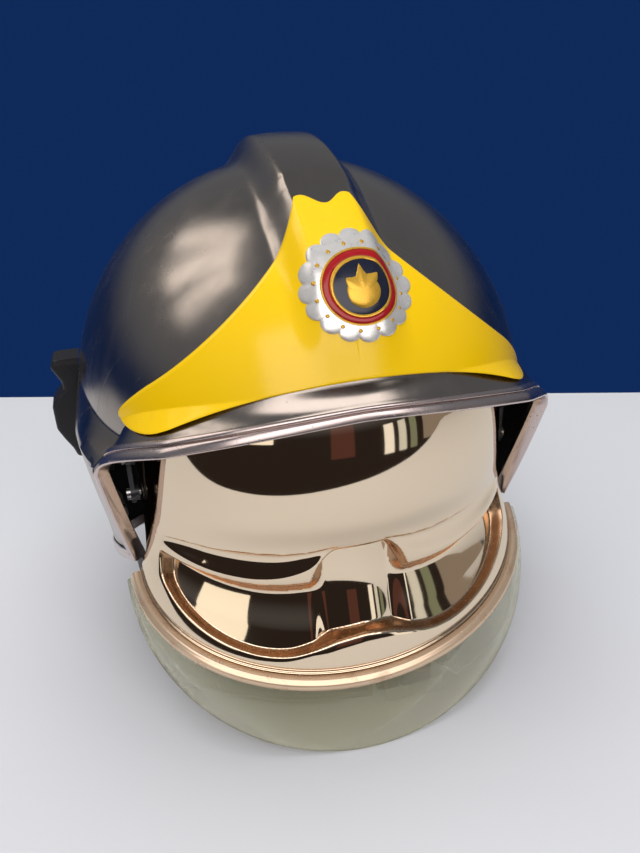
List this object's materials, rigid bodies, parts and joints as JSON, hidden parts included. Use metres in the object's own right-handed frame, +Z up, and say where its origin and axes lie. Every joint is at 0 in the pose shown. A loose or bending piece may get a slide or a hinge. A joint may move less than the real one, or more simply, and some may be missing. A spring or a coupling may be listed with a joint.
{
  "type": "structural fire helmet",
  "caption": "Combed metal fire helmet with flared brow, front plate, mirror face visor that swings up inside the shell, side hooks, liner, ratchet headband and chin strap.",
  "frame": {"origin": "under the middle of the helmet, on the surface that it stands on, with the helmet resting on the front of the visor's clear lip and on the nape edge", "axes": "+X from the wearer's right to the wearer's left, -Y the way the face looks, +Z up"},
  "size_m": [0.2738, 0.2843, 0.2778],
  "materials": {
    "shell_metal": "satin nickel plate",
    "trim_metal": "polished nickel plate",
    "plate_enamel": "gloss yellow",
    "hook_plastic": "matte black",
    "arm_plastic": "satin black",
    "washer_plastic": "natural acetal",
    "screw_steel": "plain",
    "visor_mirror": "gold mirror coat",
    "bead_plastic": "gloss gold brown",
    "lip_clear": "clear with a green tint",
    "liner_foam": "moulded foam",
    "spacer_rubber": "soft rubber",
    "band_leather": "brown leather",
    "pad_fabric": "padded cloth",
    "webbing": "woven webbing",
    "button_red": "satin red"
  },
  "bodies": {
    "shell": {"outer_shell": "shell_metal", "front_plate": "plate_enamel", "edge_trim": "trim_metal", "side_hook_left": "hook_plastic", "side_hook_right": "hook_plastic", "hook_screws": "screw_steel", "pivot_bracket_left": "arm_plastic", "pivot_bracket_right": "arm_plastic", "friction_washers": "washer_plastic", "pivot_washers": "screw_steel", "pivot_screws": "screw_steel", "impact_liner": "liner_foam", "liner_spacers": "spacer_rubber", "headband": "band_leather", "brow_pad": "pad_fabric", "crown_cradle": "webbing", "ratchet_housing": "arm_plastic", "chin_strap_left": "webbing", "chin_strap_right": "webbing", "strap_anchors": "screw_steel", "anchor_rivets": "screw_steel", "buckle_socket": "hook_plastic", "buckle_plug": "hook_plastic"},
    "visor": {"visor_shield": "visor_mirror", "visor_bead": "bead_plastic", "visor_lip": "lip_clear", "visor_arm_left": "arm_plastic", "visor_arm_right": "arm_plastic", "visor_arm_screws": "screw_steel"},
    "knob": {"ratchet_knob": "hook_plastic"},
    "left_rack": {"rack_left": "arm_plastic"},
    "right_rack": {"rack_right": "arm_plastic"},
    "button": {"buckle_button": "button_red"}
  },
  "joints": [
    {"name": "visor_swing", "type": "hinge", "parent": "shell", "child": "visor", "pos_m": [0, -0.005, 0.132], "axis": [-1, 0, 0], "range_deg": [0, 50]},
    {"name": "ratchet_turn", "type": "hinge", "parent": "shell", "child": "knob", "pos_m": [0, 0.03998, 0.0906], "axis": [0, -0.9063, 0.4226], "range_deg": [0, 120]},
    {"name": "left_rack_slide", "type": "hinge", "parent": "shell", "child": "left_rack", "pos_m": [0, 0.03998, 0.0906], "axis": [0, 0.4226, 0.9063], "range_deg": [0, 9.6]},
    {"name": "right_rack_slide", "type": "hinge", "parent": "shell", "child": "right_rack", "pos_m": [0, 0.03998, 0.0906], "axis": [0, -0.4226, -0.9063], "range_deg": [0, 9.6]},
    {"name": "buckle_press", "type": "slide", "parent": "shell", "child": "button", "axis": [0, 0, -1], "range_m": [0, 0.0016], "stiffness_N_per_m": 800}
  ],
  "couplings": [
    {"joint": "left_rack_slide", "follows": "ratchet_turn", "ratio": 0.0793},
    {"joint": "right_rack_slide", "follows": "ratchet_turn", "ratio": 0.0793}
  ]
}
